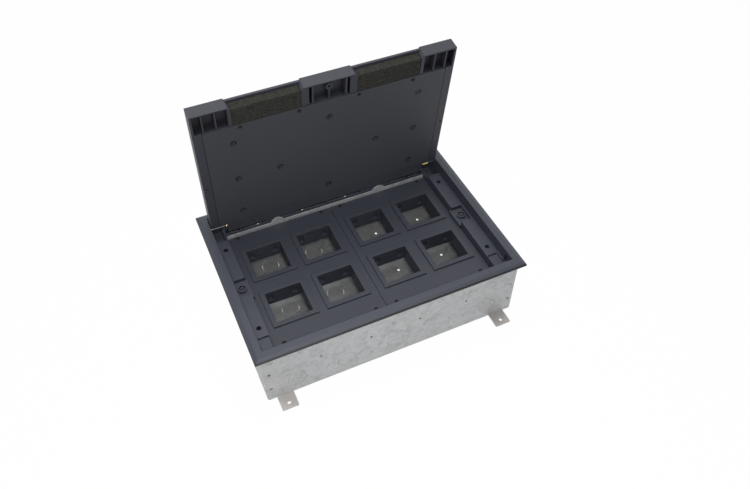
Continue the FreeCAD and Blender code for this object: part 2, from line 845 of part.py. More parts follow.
def plate_ribs():
    """Stiffening ribs between the collars."""
    low = plate_under - plate_rib_depth
    reach = module_open / 2 + collar_wall - touch
    half = rib_thick / 2
    mid_x = sum(module_x) / 2
    ribs = [block(mid_x - half, mid_x + half, -module_pitch_y / 2, module_pitch_y / 2, low, plate_z)]
    for y in spread(2, module_pitch_y):
        ribs.append(block(module_x[0] + reach, module_x[1] - reach, y - half, y + half, low, plate_z))
    for x in module_x:
        ribs.append(block(x - half, x + half, reach - module_pitch_y / 2, module_pitch_y / 2 - reach, low,
                          plate_z))
    return ribs


def make_socket_plate():
    """Right plate: four raised bezels with deep collars, clip pockets, ribs and screw holes."""
    plate = rounded_block(plate_seam / 2, plate_outer_x, plate_front, plate_back, plate_under, plate_z,
                          plate_corner_r)
    pieces = [plate]
    holes = []
    half = module_open / 2
    collar_z = plate_z + bezel_height - collar_depth
    for x, y in module_places():
        bezel = rounded_block(x - bezel_size / 2, x + bezel_size / 2, y - bezel_size / 2,
                              y + bezel_size / 2, plate_z - touch, plate_z + bezel_height, bezel_corner_r)
        rim = half + collar_wall
        collar = rounded_block(x - rim, x + rim, y - rim, y + rim, collar_z, plate_z, collar_corner_r)
        pieces += [bezel, collar]
        holes.append(block(x - half, x + half, y - half, y + half, collar_z - 1, plate_z + bezel_height + 1))
        housings, pockets = clip_pockets(x, y)
        pieces += housings
        holes += pockets
    pieces += plate_ribs()
    for x, y in plate_screw_places():
        if x > 0:
            holes.append(rod(x, y, plate_under - 1, plate_screw_r + screw_clear, plate_thick + 2))
            holes.append(rod(x, y, plate_z - plate_head_sink, plate_head_r + screw_clear, plate_head_sink + 1))
    return cut(join(pieces), holes)


def make_plate_screws():
    return [pan_screw(x, y, plate_z - plate_head_sink, plate_screw_r, plate_head_r, plate_head_h,
                      plate_screw_length) for x, y in plate_screw_places()]


# ---------------------------------------------------------------- earth terminal
def make_earth_stud():
    """Stud with a flat head outside the left wall."""
    wall = -inner_half_x
    head_h = sheet
    z = base_z + earth_z
    head = rod(wall - sheet - head_h, earth_y, z, 2 * earth_r, head_h, X_AXIS)
    shank = rod(wall - sheet - touch, earth_y, z, earth_r, earth_length, X_AXIS)
    return join([head, shank])


def earth_ring(start, shape):
    """A nut or washer on the earth stud."""
    hole = rod(start - 1, earth_y, base_z + earth_z, earth_r + touch, earth_length, X_AXIS)
    return shape.cut(hole)


def make_earth_washers():
    washers = []
    z = base_z + earth_z
    for k in range(2):
        start = -inner_half_x + k * (earth_washer_h + earth_nut_h)
        washers.append(earth_ring(start, rod(start, earth_y, z, earth_washer_r, earth_washer_h, X_AXIS)))
    return washers


def make_earth_nuts():
    nuts = []
    z = base_z + earth_z
    for k in range(2):
        start = -inner_half_x + earth_washer_h + k * (earth_washer_h + earth_nut_h)
        nuts.append(earth_ring(start, hex_prism(start, earth_y, z, earth_nut_flat, earth_nut_h, X_AXIS)))
    return nuts


# ---------------------------------------------------------------- lid, drawn shut
def lid_screw_rows():
    front = band_back + lid_screw_front
    back = steel_back_y - lid_screw_back
    return front, (front + back) / 2, back


def lid_screw_places():
    """Three screws in the front and back rows and four in the middle row."""
    front, middle, back = lid_screw_rows()
    places = [(x, y) for y in (front, back) for x in (-lid_screw_x, 0, lid_screw_x)]
    return places + [(sx * x, middle) for sx in SIDES for x in (lid_screw_mid_x, lid_screw_x)]


def outlet_screw_places():
    y = band_back + outlet_screw_from_band
    return [(sx * x, y) for sx in SIDES
            for x in (outlet_inner_x + outlet_screw_inner, outlet_outer_x - outlet_screw_outer)]


def lid_cells():
    """Hollow cells over the steel plate, parted by ribs through the screw bosses."""
    low_z = lid_under + steel_thick
    high_z = lid_top - lid_recess_depth - lid_skin
    low_y = band_back + lid_cell_border
    high_y = steel_back_y - lid_cell_border
    xs = [-steel_half_x + lid_cell_border, -lid_screw_x, -lid_screw_mid_x, 0.0, lid_screw_mid_x, lid_screw_x,
          steel_half_x - lid_cell_border]
    ys = [low_y, *lid_screw_rows(), high_y]
    tools = []
    for x0, x1 in zip(xs, xs[1:]):
        for y0, y1 in zip(ys, ys[1:]):
            tools.append(block(x0 + lid_cell_rib / 2, x1 - lid_cell_rib / 2, y0 + lid_cell_rib / 2,
                               y1 - lid_cell_rib / 2, low_z, high_z))
    return Part.makeCompound(tools).cut(Part.makeCompound(
        [rod(x, y, low_z, lid_boss_r, high_z - low_z) for x, y in lid_screw_places()]))


def band_bays(sx):
    """Open bays behind the front wall, between the cable outlet and the side."""
    top = lid_top - band_skin
    y0 = lid_front + band_wall
    edges = [outlet_outer_x + outlet_wall]
    for inset in band_rib_inset:
        edges += [lid_half - inset - band_rib / 2, lid_half - inset + band_rib / 2]
    edges.append(lid_half - band_side_wall)
    tools = []
    for x0, x1 in zip(edges[0::2], edges[1::2]):
        tools.append(block(sx * x0, sx * x1, y0, band_back, lid_under - 1, top))
    slot_x = centre_bay_half + centre_rib
    tools.append(block(sx * slot_x, sx * (slot_x + centre_slot), y0, band_back, lid_under - 1, top))
    return tools


def centre_bay():
    """Middle bay with a round boss and its rib left standing."""
    top = lid_top - band_skin
    y0 = lid_front + band_wall
    bay = block(-centre_bay_half, centre_bay_half, y0, band_back, lid_under - 1, top)
    boss_y = lid_front + centre_boss_from_front
    boss = rod(0, boss_y, lid_under + band_wall, centre_boss_r, lid_thick)
    rib = block(-band_rib / 2, band_rib / 2, boss_y, band_back + 1, lid_under + band_wall, lid_top)
    return bay.cut(join([boss, rib]))


def outlet_cut(sx):
    """Cable outlet through the front of the lid, with the flap bay over it."""
    tools = [block(sx * outlet_inner_x, sx * outlet_outer_x, lid_front - 1, band_back, lid_under - 1,
                   lid_top + 1)]
    bay_z = lid_top - flap_thick - flap_gap
    tools.append(block(sx * flap_bay_inner, sx * flap_bay_outer, lid_front - 1, flap_bay_back, bay_z,
                       lid_top + 1))
    for x, way in ((outlet_inner_x, -1), (outlet_outer_x, 1)):
        corner = [V(sx * x, lid_front - touch, lid_under - 1),
                  V(sx * (x + way * outlet_chamfer), lid_front - touch, lid_under - 1),
                  V(sx * x, lid_front + outlet_chamfer, lid_under - 1),
                  V(sx * x, lid_front - touch, lid_under - 1)]
        wedge = Part.Face(Part.makePolygon(corner)).extrude(V(0, 0, lid_thick + 2))
        tools.append(wedge)
    pin_start = flap_bay_inner - flap_pin_length - flap_gap
    pin_span = flap_bay_outer - flap_bay_inner + 2 * (flap_pin_length + flap_gap)
    start = pin_start if sx > 0 else -pin_start - pin_span
    tools.append(rod(start, flap_pivot_y, flap_z, flap_pin_r + flap_pin_clear, pin_span, X_AXIS))
    return tools


def corner_cut(sx):
    """Room for the hinge barrel under the skin of a back corner."""
    return block(sx * corner_cut_x, sx * (lid_half + 1), corner_cut_y, lid_back_y + 1, lid_under - 1,
                 lid_top - corner_skin)


def make_lid_moulding():
    shell = block(-lid_half, lid_half, lid_front, lid_back_y, lid_under, lid_top)
    back_top = [e for e in shell.Edges
                if abs(e.BoundBox.YMin - lid_back_y) < touch and abs(e.BoundBox.ZMin - lid_top) < touch]
    shell = shell.makeFillet(lid_back_r, back_top)
    tools = [
        block(-lid_half + lid_rim, lid_half - lid_rim, flap_bay_back + lid_rim,
              lid_back_y - lid_rim - lid_back_r, lid_top - lid_recess_depth, lid_top + 1),
        block(-steel_half_x, steel_half_x, band_back - 1, steel_back_y, lid_under - 1,
              lid_under + steel_thick),
        lid_cells(),
        centre_bay(),
        rod(0, lid_front + centre_boss_from_front, lid_under, centre_boss_bore_r, lid_thick - band_skin),
    ]
    for sx in SIDES:
        tools += band_bays(sx)
        tools += outlet_cut(sx)
        tools.append(corner_cut(sx))
        tools.append(rod(sx * (lid_half - side_dot_inset), side_dot_y, lid_under - 1, side_dot_r,
                         side_dot_depth + 1))
        tools.append(bush_solid(sx, touch, 0))
        tools.append(rod(sx * (lid_half - band_hole_inset), lid_back_y - band_hole_from_back, lid_under - 1,
                         band_hole_r, band_hole_depth + 1))
    for x, y in lid_screw_places():
        tools.append(rod(x, y, lid_under, lid_screw_r + touch, lid_head_sink + lid_screw_length + screw_clear))
    for x, y in outlet_screw_places():
        tools.append(rod(x, y, lid_under, outlet_screw_r + touch,
                         outlet_head_sink + outlet_screw_length + screw_clear))
    return cut(shell, tools)


def make_lid_plate():
    """Steel stiffening plate let into the underside of the lid."""
    plate = rounded_block(-steel_half_x + steel_gap, steel_half_x - steel_gap, band_back + steel_gap,
                          steel_back_y - steel_gap, lid_under, lid_under + steel_thick, steel_corner_r)
    tools = []
    for x, y in lid_screw_places():
        tools.append(rod(x, y, lid_under - 1, lid_head_bore_r, lid_head_sink + 1))
        tools.append(countersink(x, y, lid_under + lid_head_sink, lid_screw_r, lid_head_r, lid_screw_length, 1))
    for x, y in outlet_screw_places():
        tools.append(rod(x, y, lid_under - 1, outlet_head_bore_r, outlet_head_sink + 1))
        tools.append(countersink(x, y, lid_under + outlet_head_sink, outlet_screw_r, outlet_head_r,
                                 outlet_screw_length, 1))
    return cut(plate, tools)


def make_lid_screws():
    z = lid_under + lid_head_sink + touch
    return [countersunk_screw(x, y, z, lid_screw_r, lid_head_r, lid_screw_length, 1)
            for x, y in lid_screw_places()]


def make_outlet_screws():
    z = lid_under + outlet_head_sink + touch
    return [countersunk_screw(x, y, z, outlet_screw_r, outlet_head_r, outlet_screw_length, 1)
            for x, y in outlet_screw_places()]


def make_cable_flap():
    """Right cable flap with two moulded trunnions and a finger recess."""
    x0 = flap_bay_inner + flap_gap
    x1 = flap_bay_outer - flap_gap
    low = lid_top - flap_thick
    profile = [V(x0, flap_pivot_y, low), V(x0, lid_front, low), V(x0, lid_front, lid_top - flap_chamfer),
               V(x0, lid_front + flap_chamfer, lid_top), V(x0, flap_pivot_y, lid_top),
               V(x0, flap_pivot_y, low)]
    leaf = Part.Face(Part.makePolygon(profile)).extrude(V(x1 - x0, 0, 0))
    knuckle = rod(x0, flap_pivot_y, flap_z, flap_thick / 2, x1 - x0, X_AXIS)
    trunnions = rod(x0 - flap_pin_length, flap_pivot_y, flap_z, flap_pin_r,
                    x1 - x0 + 2 * flap_pin_length, X_AXIS)
    finger = rod(outlet_centre_x, lid_front, lid_top - flap_finger_depth, flap_finger_r,
                 flap_finger_depth + 1)
    return join([leaf, knuckle, trunnions]).cut(finger)


def make_foam_pad():
    """Right foam pad that closes the cable outlet under its flap."""
    return rounded_block(outlet_inner_x + foam_gap, outlet_outer_x - foam_gap, lid_front + foam_setback,
                         band_back - foam_gap, lid_under, lid_top - flap_thick - foam_gap, foam_edge_r)


# ---------------------------------------------------------------- all nodes
def fixed_nodes():
    """Pieces of the box, frame and plates, which stay still."""
    plate_right = make_socket_plate()
    nodes = {
        "back_box": [make_back_box()],
        "foot_rivets": make_foot_rivets(),
        "frame_brackets": make_frame_brackets(),
        "levelling_nuts": make_levelling_nuts(),
        "levelling_screws": make_levelling_screws(),
        "floor_frame": [make_floor_frame()],
        "frame_screws": make_frame_screws(),
        "rear_rail": [make_rear_rail()],
        "front_rail": [make_front_rail()],
        "rail_screws": make_rail_screws(),
        "socket_plate_right": [plate_right],
        "socket_plate_left": [mirror_x(plate_right)],
        "plate_screws": make_plate_screws(),
        "earth_stud": [make_earth_stud()],
        "earth_washers": make_earth_washers(),
        "earth_nuts": make_earth_nuts(),
        "hinge_collar_right": [make_hinge_collar()],
    }
    for sx, side in zip(SIDES, ("left", "right")):
        nodes["hinge_pin_" + side] = [make_hinge_pin(sx)]
        for sy, end in zip(SIDES, ("front", "rear")):
            nodes["fixing_foot_" + end + "_" + side] = [make_foot(sx, sy)]
    return nodes


def lid_nodes():
    """Pieces that ride on the lid, shut."""
    flap = make_cable_flap()
    foam = make_foam_pad()
    return {
        "lid_moulding": [make_lid_moulding()],
        "lid_plate": [make_lid_plate()],
        "hinge_bush_left": [make_hinge_bush(-1)],
        "hinge_bush_right": [make_hinge_bush(1)],
        "lid_screws": make_lid_screws(),
        "outlet_screws": make_outlet_screws(),
        "cable_flap_right": [flap],
        "cable_flap_left": [mirror_x(flap)],
        "foam_pad_right": [foam],
        "foam_pad_left": [mirror_x(foam)],
    }


def write_nodes():
    """Write one STEP file per node, with the lid swung open."""
    os.makedirs("parts", exist_ok=True)
    nodes = fixed_nodes()
    for name, solids in lid_nodes().items():
        nodes[name] = [swing_open(solid) for solid in solids]
    for name, solids in nodes.items():
        shape = solids[0] if len(solids) == 1 else Part.makeCompound(solids)
        shape.exportStep("parts/" + name + ".step")
        print(name, "solids", len(shape.Solids), "volume", round(shape.Volume, 1), "valid", shape.isValid())


write_nodes()
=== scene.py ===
import json
import math
import random

import bmesh
import bpy
from mathutils import Matrix, Vector, noise


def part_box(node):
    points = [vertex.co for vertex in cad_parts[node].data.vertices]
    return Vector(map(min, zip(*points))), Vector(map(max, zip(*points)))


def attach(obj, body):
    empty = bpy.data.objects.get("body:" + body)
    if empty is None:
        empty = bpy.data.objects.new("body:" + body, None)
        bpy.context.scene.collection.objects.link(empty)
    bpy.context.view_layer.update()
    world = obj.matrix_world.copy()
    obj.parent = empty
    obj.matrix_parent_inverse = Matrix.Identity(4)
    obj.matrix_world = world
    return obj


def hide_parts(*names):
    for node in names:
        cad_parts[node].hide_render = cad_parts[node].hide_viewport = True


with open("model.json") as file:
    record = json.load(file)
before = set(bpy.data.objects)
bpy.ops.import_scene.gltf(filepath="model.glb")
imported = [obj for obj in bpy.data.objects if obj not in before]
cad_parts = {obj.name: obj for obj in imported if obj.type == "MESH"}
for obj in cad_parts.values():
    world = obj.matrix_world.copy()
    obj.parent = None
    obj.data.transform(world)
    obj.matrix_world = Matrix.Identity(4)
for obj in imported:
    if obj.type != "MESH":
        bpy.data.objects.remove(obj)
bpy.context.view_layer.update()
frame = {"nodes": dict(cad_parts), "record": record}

MM = 0.001
nodes = frame["nodes"]
UP = Vector((0, 0, 1))
FRONT = Vector((0, -1, 0))
WHITE = (1, 1, 1)
BLACK = (0, 0, 0)

# ---------------------------------------------------------------- camera, floor and world
CAMERA_PLACE = (-0.2515, -0.6125, 0.8323)
CAMERA_TILT = math.radians(41.75)
CAMERA_TURN = math.radians(-24.52)
CAMERA_LENS = 34.55

FLOOR_REACH = 6.0
FLOOR_GREY = 0.8
FLOOR_WHITE_SHARE = 0.975

SKY_TINT = (0.93, 0.95, 1.0)
SKY_WEAKEST = 0.07
SKY_STRONGEST = 0.34
BRIGHT_SIDE = Vector((0.25, 0.70, 0.67))

# ---------------------------------------------------------------- details of the pieces
# how far in from the flange's outer edge a shadow line is painted, at its left and right and at its front
# and rear
FLANGE_SHADOW_ENDS = 0.15 * MM
FLANGE_SHADOW_SIDES = 2.2 * MM
# how far the painted shade in the lid's narrow bays reaches
LID_BAY_SHADE_DEPTH = 14 * MM

FOAM_VOXEL = 0.75 * MM
FOAM_LUMP_SCALE = 420
FOAM_PORE_SCALE = 1300
FOAM_PORE_SHIFT = Vector((7, 3, 1))
# how far the foam's skin sinks, in millimetres: everywhere, at its lumps and at its pores
FOAM_SINK = 0.10
FOAM_LUMP_DEPTH = 0.22
FOAM_PORE_DEPTH = 0.42

# how far the lid stands open at rest, and where its inside looks
LID_OPEN = math.radians(81.5)
LID_FACE = Vector((0, -math.sin(LID_OPEN), -math.cos(LID_OPEN)))
WELD_DISTANCE = 0.003 * MM
HEAD_FACE_DEPTH = 0.02 * MM
# the drive tool's taper, as shares of its outline, and how far it stands out of the head
DRIVE_MOUTH = 1.05
DRIVE_FLOOR = 0.72
DRIVE_OVERSHOOT = 0.2 * MM
SHARP_ANGLE = math.radians(35)

# the mix node's sockets by number, since its colours share their names with its other kinds
MIX_FACTOR, MIX_A, MIX_B, MIX_RESULT = 0, 6, 7, 2


def put(name, data):
    """A new object in the scene."""
    thing = bpy.data.objects.new(name, data)
    bpy.context.scene.collection.objects.link(thing)
    return thing


# ---------------------------------------------------------------- camera
def add_camera():
    """The view of the open box from the front left and above."""
    data = bpy.data.cameras.new("view_camera")
    data.lens = CAMERA_LENS
    data.sensor_width = 36.0
    data.sensor_fit = "HORIZONTAL"
    data.clip_start = 0.01
    data.dof.use_dof = False
    camera = put("view_camera", data)
    camera.location = CAMERA_PLACE
    camera.rotation_euler = (CAMERA_TILT, 0, CAMERA_TURN)
    bpy.context.scene.camera = camera


# ---------------------------------------------------------------- node helpers
class Shader:
    """The node tree of a material or a world, with short calls for the nodes that these share."""

    def __init__(self, owner, output):
        self.owner = owner
        owner.use_nodes = True
        self.tree = owner.node_tree
        self.tree.nodes.clear()
        self.output = self.add(output)
        self.place = self.add("ShaderNodeTexCoord")
        self.coords = self.place.outputs["Object"]

    def add(self, kind, **values):
        node = self.tree.nodes.new(kind)
        for key, value in values.items():
            setattr(node, key, value)
        return node

    def feed(self, socket, value):
        """Gives an input either a plain value or another node's output."""
        if isinstance(value, bpy.types.NodeSocket):
            self.tree.links.new(value, socket)
        else:
            socket.default_value = value

    def set(self, node, **values):
        """Inputs by name."""
        for key, value in values.items():
            self.feed(node.inputs[key.replace("_", " ")], value)

    def combine(self, kind, operation, *values):
        """What a maths node makes of its inputs, given in order."""
        node = self.add(kind, operation=operation)
        for socket, value in zip(node.inputs, values):
            self.feed(socket, value)
        return node.outputs

    def maths(self, operation, *values):
        return self.combine("ShaderNodeMath", operation, *values)["Value"]

    def agreement(self, direction, other):
        """The dot product of two directions."""
        return self.combine("ShaderNodeVectorMath", "DOT_PRODUCT", direction, other)["Value"]

    def noise(self, scale, detail=4.0, roughness=0.55, vector=None, distortion=0.0, output="Fac"):
        node = self.add("ShaderNodeTexNoise")
        self.set(node, Vector=vector or self.coords, Scale=scale, Detail=detail, Roughness=roughness,
                 Distortion=distortion)
        return node.outputs[output]

    def cells(self, scale, feature="F1", vector=None):
        node = self.add("ShaderNodeTexVoronoi", feature=feature)
        self.set(node, Vector=vector or self.coords, Scale=scale)
        return node.outputs

    def stretch(self, x, y, z):
        """The object's coordinates, scaled along each axis."""
        node = self.add("ShaderNodeMapping")
        self.set(node, Vector=self.coords, Scale=(x, y, z))
        return node.outputs["Vector"]

    def warped(self, scale, reach):
        """The object's coordinates, pushed about by a noise."""
        push = self.add("ShaderNodeVectorMath", operation="SCALE")
        self.feed(push.inputs["Vector"], self.noise(scale, 5.0, 0.6, output="Color"))
        self.feed(push.inputs["Scale"], reach)
        return self.combine("ShaderNodeVectorMath", "ADD", self.coords, push.outputs["Vector"])["Vector"]

    def ramp(self, value, stops):
        """Colour ramp; stops are (place, colour)."""
        node = self.add("ShaderNodeValToRGB")
        elements = node.color_ramp.elements
        while len(elements) < len(stops):
            elements.new(0.5)
        for element, (place, colour) in zip(elements, stops):
            element.position = place
            element.color = (*colour, 1)
        self.feed(node.inputs["Fac"], value)
        return node.outputs["Color"]

    def spread(self, value, low, high, start=0.0, end=1.0):
        """A value that runs from start to end, spread between two other numbers."""
        node = self.add("ShaderNodeMapRange")
        self.set(node, Value=value, From_Min=start, From_Max=end, To_Min=low, To_Max=high)
        return node.outputs["Result"]

    def mix(self, factor, a, b, blend="MIX"):
        """Two colours mixed, each a plain colour or another node's output."""
        node = self.add("ShaderNodeMix", data_type="RGBA", blend_type=blend)
        self.feed(node.inputs[MIX_FACTOR], factor)
        for index, colour in ((MIX_A, a), (MIX_B, b)):
            self.feed(node.inputs[index], (*colour, 1) if isinstance(colour, tuple) else colour)
        return node.outputs[MIX_RESULT]

    def bump(self, height, distance, strength, normal=None):
        """A shading normal roughened by a height, on top of another normal if one is given."""
        node = self.add("ShaderNodeBump")
        self.set(node, Height=height, Distance=distance, Strength=strength)
        if normal is not None:
            self.feed(node.inputs["Normal"], normal)
        return node.outputs["Normal"]

    def soft_edges(self, radius):
        """Shading normal that rounds sharp edges, and a mask that is white on them."""
        node = self.add("ShaderNodeBevel", samples=5)
        self.set(node, Radius=radius)
        soft = node.outputs["Normal"]
        flat = self.add("ShaderNodeNewGeometry").outputs["Normal"]
        mask = self.ramp(self.agreement(soft, flat), [(0.86, WHITE), (0.985, BLACK)])
        return soft, mask

    def cavity(self, distance):
        """1 on open faces, towards 0 down in narrow bays."""
        node = self.add("ShaderNodeAmbientOcclusion", samples=6)
        self.set(node, Distance=distance)
        return node.outputs["AO"]

    def outside(self, half_x, half_y):
        """1 beyond a rectangle about the middle, seen from above, else 0."""
        place = self.add("ShaderNodeSeparateXYZ")
        self.set(place, Vector=self.coords)
        over = []
        for axis, limit in (("X", half_x), ("Y", half_y)):
            over.append(self.maths("GREATER_THAN", self.maths("ABSOLUTE", place.outputs[axis]), limit))
        return self.maths("MAXIMUM", *over)

    def facing_front(self):
        """0 on faces that look up, back or sideways, rising to 1 on upright ones that look to the front."""
        normal = self.add("ShaderNodeNewGeometry").outputs["Normal"]
        return self.spread(self.agreement(normal, FRONT), 0.0, 1.0, start=0.2, end=0.9)

    def sees_background(self):
        """1 where the camera, a mirror or glass looks, else 0."""
        path = self.add("ShaderNodeLightPath").outputs
        seen = path["Is Camera Ray"]
        for ray in ("Is Glossy Ray", "Is Transmission Ray"):
            seen = self.maths("MAXIMUM", seen, path[ray])
        return seen

    def show_either(self, share, lit, seen):
        """Ends the tree with two shaders, the second one by the given share."""
        mix = self.add("ShaderNodeMixShader")
        for socket, value in zip(mix.inputs, (share, lit.outputs[0], seen.outputs[0])):
            self.feed(socket, value)
        self.feed(self.output.inputs["Surface"], mix.outputs[0])

    def surface(self, **values):
        """Ends the tree with a principled shader, and returns the material."""
        node = self.add("ShaderNodeBsdfPrincipled")
        self.set(node, **values)
        self.feed(self.output.inputs["Surface"], node.outputs["BSDF"])
        return self.owner


def new_material(name):
    return Shader(bpy.data.materials.new(name), "ShaderNodeOutputMaterial")


def linear(*parts):
    """Linear colour of an sRGB colour given as 0 to 255."""
    return tuple(c / 255 / 12.92 if c <= 10 else ((c / 255 + 0.055) / 1.055) ** 2.4 for c in parts)


def scaled(colour, factor):
    """A darker or lighter colour."""
    return tuple(min(1, c * factor) for c in colour)


# ---------------------------------------------------------------- finishes
def moulded_plastic(name, colour, roughness, shine, bay_shade_depth=0.0, front=0.0, painted_shadow_rim=None):
    """Dark satin plastic with a fine spark-eroded texture, faint flow marks and painted edge highlights.

    The last three values paint shade: bay depth darkens narrow bays, front the upright faces that look
    to the front, and the rim paints a shadow line beyond its two half sizes.
    """
    s = new_material(name)
    grain = s.noise(2600.0, 3.0, 0.6)
    flow = s.noise(14.0, 5.0, 0.6)
    base = s.mix(flow, scaled(colour, 0.93), scaled(colour, 1.07))
    soft, edges = s.soft_edges(0.5 * MM)
    # painted highlight: sharp edges are painted lighter
    base = s.mix(s.spread(edges, 0.0, 0.8), base, scaled(colour, 1.3))
    # painted shade: narrow bays are darkened, most where they are most enclosed
    if bay_shade_depth:
        shaded = s.ramp(s.cavity(bay_shade_depth), [(0.20, (0.12, 0.12, 0.13)), (0.85, WHITE)])
        base = s.mix(1.0, base, shaded, "MULTIPLY")
    # painted shade: upright faces that look to the front are darkened
    if front:
        base = s.mix(s.spread(s.facing_front(), 0.0, front), base, scaled(colour, 0.12))
    # painted shadow: beyond the rim the colour is near-black, for the shadow along the flange's outer edge
    if painted_shadow_rim:
        base = s.mix(s.outside(*painted_shadow_rim), base, scaled(colour, 0.08))
    rough = s.spread(s.noise(90.0), roughness - 0.05, roughness + 0.06)
    normal = s.bump(grain, 0.06 * MM, 0.35, soft)
    return s.surface(Base_Color=base, Roughness=rough, Specular_IOR_Level=shine, Normal=normal)


def galvanised_sheet(name, tone, cell):
    """Hot-dip zinc: feathery spangle crystals that run into each other, with bright rims and veins."""
    s = new_material(name)
    place = s.warped(55.0, 0.034)
    shade = s.add("ShaderNodeSeparateColor")
    s.set(shade, Color=s.cells(cell, vector=place)["Color"])
    rim = s.cells(cell, "DISTANCE_TO_EDGE", place)["Distance"]
    feather = s.noise(62.0, 6.0, 0.58, s.stretch(0.6, 1.0, 1.2), distortion=2.6)
    fine = s.noise(520.0, 4.0, 0.65)
    cloud = s.noise(9.0, 3.0, 0.5)
    greys = ((0.0, (0.325, 0.330, 0.333)), (0.5, (0.395, 0.400, 0.404)), (1.0, (0.465, 0.470, 0.475)))
    crystal = s.ramp(shade.outputs["Red"], [(step, scaled(grey, tone)) for step, grey in greys])
    veins = s.ramp(feather, [(0.36, BLACK), (0.50, WHITE), (0.64, BLACK)])
    base = s.mix(s.spread(veins, 0.0, 0.62), crystal, scaled((0.61, 0.615, 0.62), tone))
    edge = s.ramp(rim, [(0.0, WHITE), (0.06, BLACK)])
    base = s.mix(s.spread(edge, 0.0, 0.22), base, scaled((0.66, 0.665, 0.67), tone))
    base = s.mix(s.spread(fine, 0.0, 0.30), base, scaled((0.36, 0.365, 0.37), tone))
    base = s.mix(s.spread(cloud, 0.0, 0.25), base, scaled((0.40, 0.40, 0.40), tone))
    rough = s.spread(shade.outputs["Green"], 0.38, 0.58)
    soft, edges = s.soft_edges(0.4 * MM)
    # painted highlight: folded and cut edges are painted lighter
    base = s.mix(s.spread(edges, 0.0, 0.5), base, scaled((0.74, 0.74, 0.74), tone))
    normal = s.bump(fine, 0.04 * MM, 0.4, s.bump(feather, 0.16 * MM, 0.35, soft))
    return s.surface(Base_Color=base, Metallic=0.45, Roughness=rough, Normal=normal)


def plain_steel(name, colour, roughness):
    """Zinc-plated or turned steel with fine lines along one direction."""
    s = new_material(name)
    lines = s.noise(1.0, 4.0, 0.6, s.stretch(40.0, 900.0, 900.0))
    cloud = s.noise(60.0, 3.0)
    base = s.mix(s.spread(lines, 0.2, 0.8), scaled(colour, 0.86), scaled(colour, 1.1))
    base = s.mix(s.spread(cloud, 0.0, 0.3), base, scaled(colour, 0.8))
    rough = s.spread(cloud, roughness - 0.06, roughness + 0.08)
    return s.surface(Base_Color=base, Metallic=0.9, Roughness=rough, Normal=s.bump(lines, 0.03 * MM, 0.5))


def powder_coat(name, colour, roughness):
    """Powder-coated steel with a fine orange peel and darker edges."""
    s = new_material(name)
    peel = s.noise(700.0, 2.0, 0.5)
    cloud = s.noise(8.0)
    base = s.mix(cloud, scaled(colour, 0.92), scaled(colour, 1.08))
    _, edges = s.soft_edges(1.3 * MM)
    base = s.mix(s.spread(edges, 0.0, 0.85), base, scaled(colour, 0.30))
    rough = s.spread(peel, roughness - 0.05, roughness + 0.07)
    normal = s.bump(peel, 0.08 * MM, 0.3)
    return s.surface(Base_Color=base, Roughness=rough, Specular_IOR_Level=0.3, Normal=normal)


def foam_finish(name):
    """Open-cell foam: cells painted near-black as shade, lighter walls and a few bright torn edges."""
    s = new_material(name)
    pores = s.cells(1000.0, "DISTANCE_TO_EDGE")["Distance"]
    coarse = s.noise(620.0, 5.0, 0.75)
    torn = s.noise(1500.0, 4.0, 0.7)
    greys = ((0.0, linear(84, 83, 77)), (0.12, linear(54, 54, 51)), (0.42, linear(26, 26, 24)))
    # painted shade: the middle of each cell is darkened as the shade in its hollow
    walls = s.ramp(pores, greys)
    base = s.mix(s.ramp(coarse, [(0.40, BLACK), (0.62, WHITE)]), walls, linear(28, 28, 26))
    base = s.mix(s.ramp(torn, [(0.66, BLACK), (0.74, WHITE)]), base, linear(128, 125, 112))
    normal = s.bump(coarse, 0.8 * MM, 0.9)
    return s.surface(Base_Color=base, Roughness=0.95, Specular_IOR_Level=0.15, Normal=normal)


def turned_brass(name):
    """Turned brass with fine rings and a light tarnish."""
    s = new_material(name)
    rings = s.noise(1.0, 3.0, 0.6, s.stretch(2400.0, 60.0, 60.0))
    tarnish = s.noise(240.0)
    base = s.mix(s.spread(tarnish, 0.0, 0.6), (0.86, 0.70, 0.30), (0.62, 0.48, 0.19))
    rough = s.spread(tarnish, 0.24, 0.42)
    return s.surface(Base_Color=base, Metallic=1.0, Roughness=rough, Normal=s.bump(rings, 0.03 * MM, 0.5))


def flange_shadow_rim():
    """Half sizes just inside the frame flange's outer edge, beyond which a shadow line is painted."""
    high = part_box("floor_frame")[1]
    return high[0] - FLANGE_SHADOW_ENDS, high[1] - FLANGE_SHADOW_SIDES


# every material slot with the finish that makes it and that finish's values
FINISHES = {
    "galvanised_sheet": (galvanised_sheet, dict(tone=0.95, cell=95.0)),
    "rail_steel": (galvanised_sheet, dict(tone=0.80, cell=120.0)),
    "foot_steel": (plain_steel, dict(colour=(0.47, 0.45, 0.43), roughness=0.45)),
    "plated_steel": (plain_steel, dict(colour=(0.55, 0.55, 0.55), roughness=0.32)),
    "pin_steel": (plain_steel, dict(colour=(0.17, 0.175, 0.185), roughness=0.42)),
    "black_screw": (powder_coat, dict(colour=linear(17, 17, 19), roughness=0.55)),
    "brass": (turned_brass, dict()),
    "frame_plastic": (moulded_plastic, dict(
        colour=linear(62, 64, 74), roughness=0.44, shine=0.32, front=0.6, painted_shadow_rim=flange_shadow_rim())),
    "plate_plastic": (moulded_plastic, dict(
        colour=linear(54, 56, 65), roughness=0.46, shine=0.32, front=0.4)),
    "lid_plastic": (moulded_plastic, dict(
        colour=linear(57, 58, 65), roughness=0.50, shine=0.30, bay_shade_depth=LID_BAY_SHADE_DEPTH)),
    "flap_plastic": (moulded_plastic, dict(colour=linear(58, 59, 67), roughness=0.50, shine=0.30)),
    "lid_steel_black": (powder_coat, dict(colour=linear(61, 62, 67), roughness=0.55)),
    "foam": (foam_finish, dict()),
}


def dress(mesh, finish):
    """Gives a mesh one material."""
    mesh.materials.clear()
    mesh.materials.append(finish)


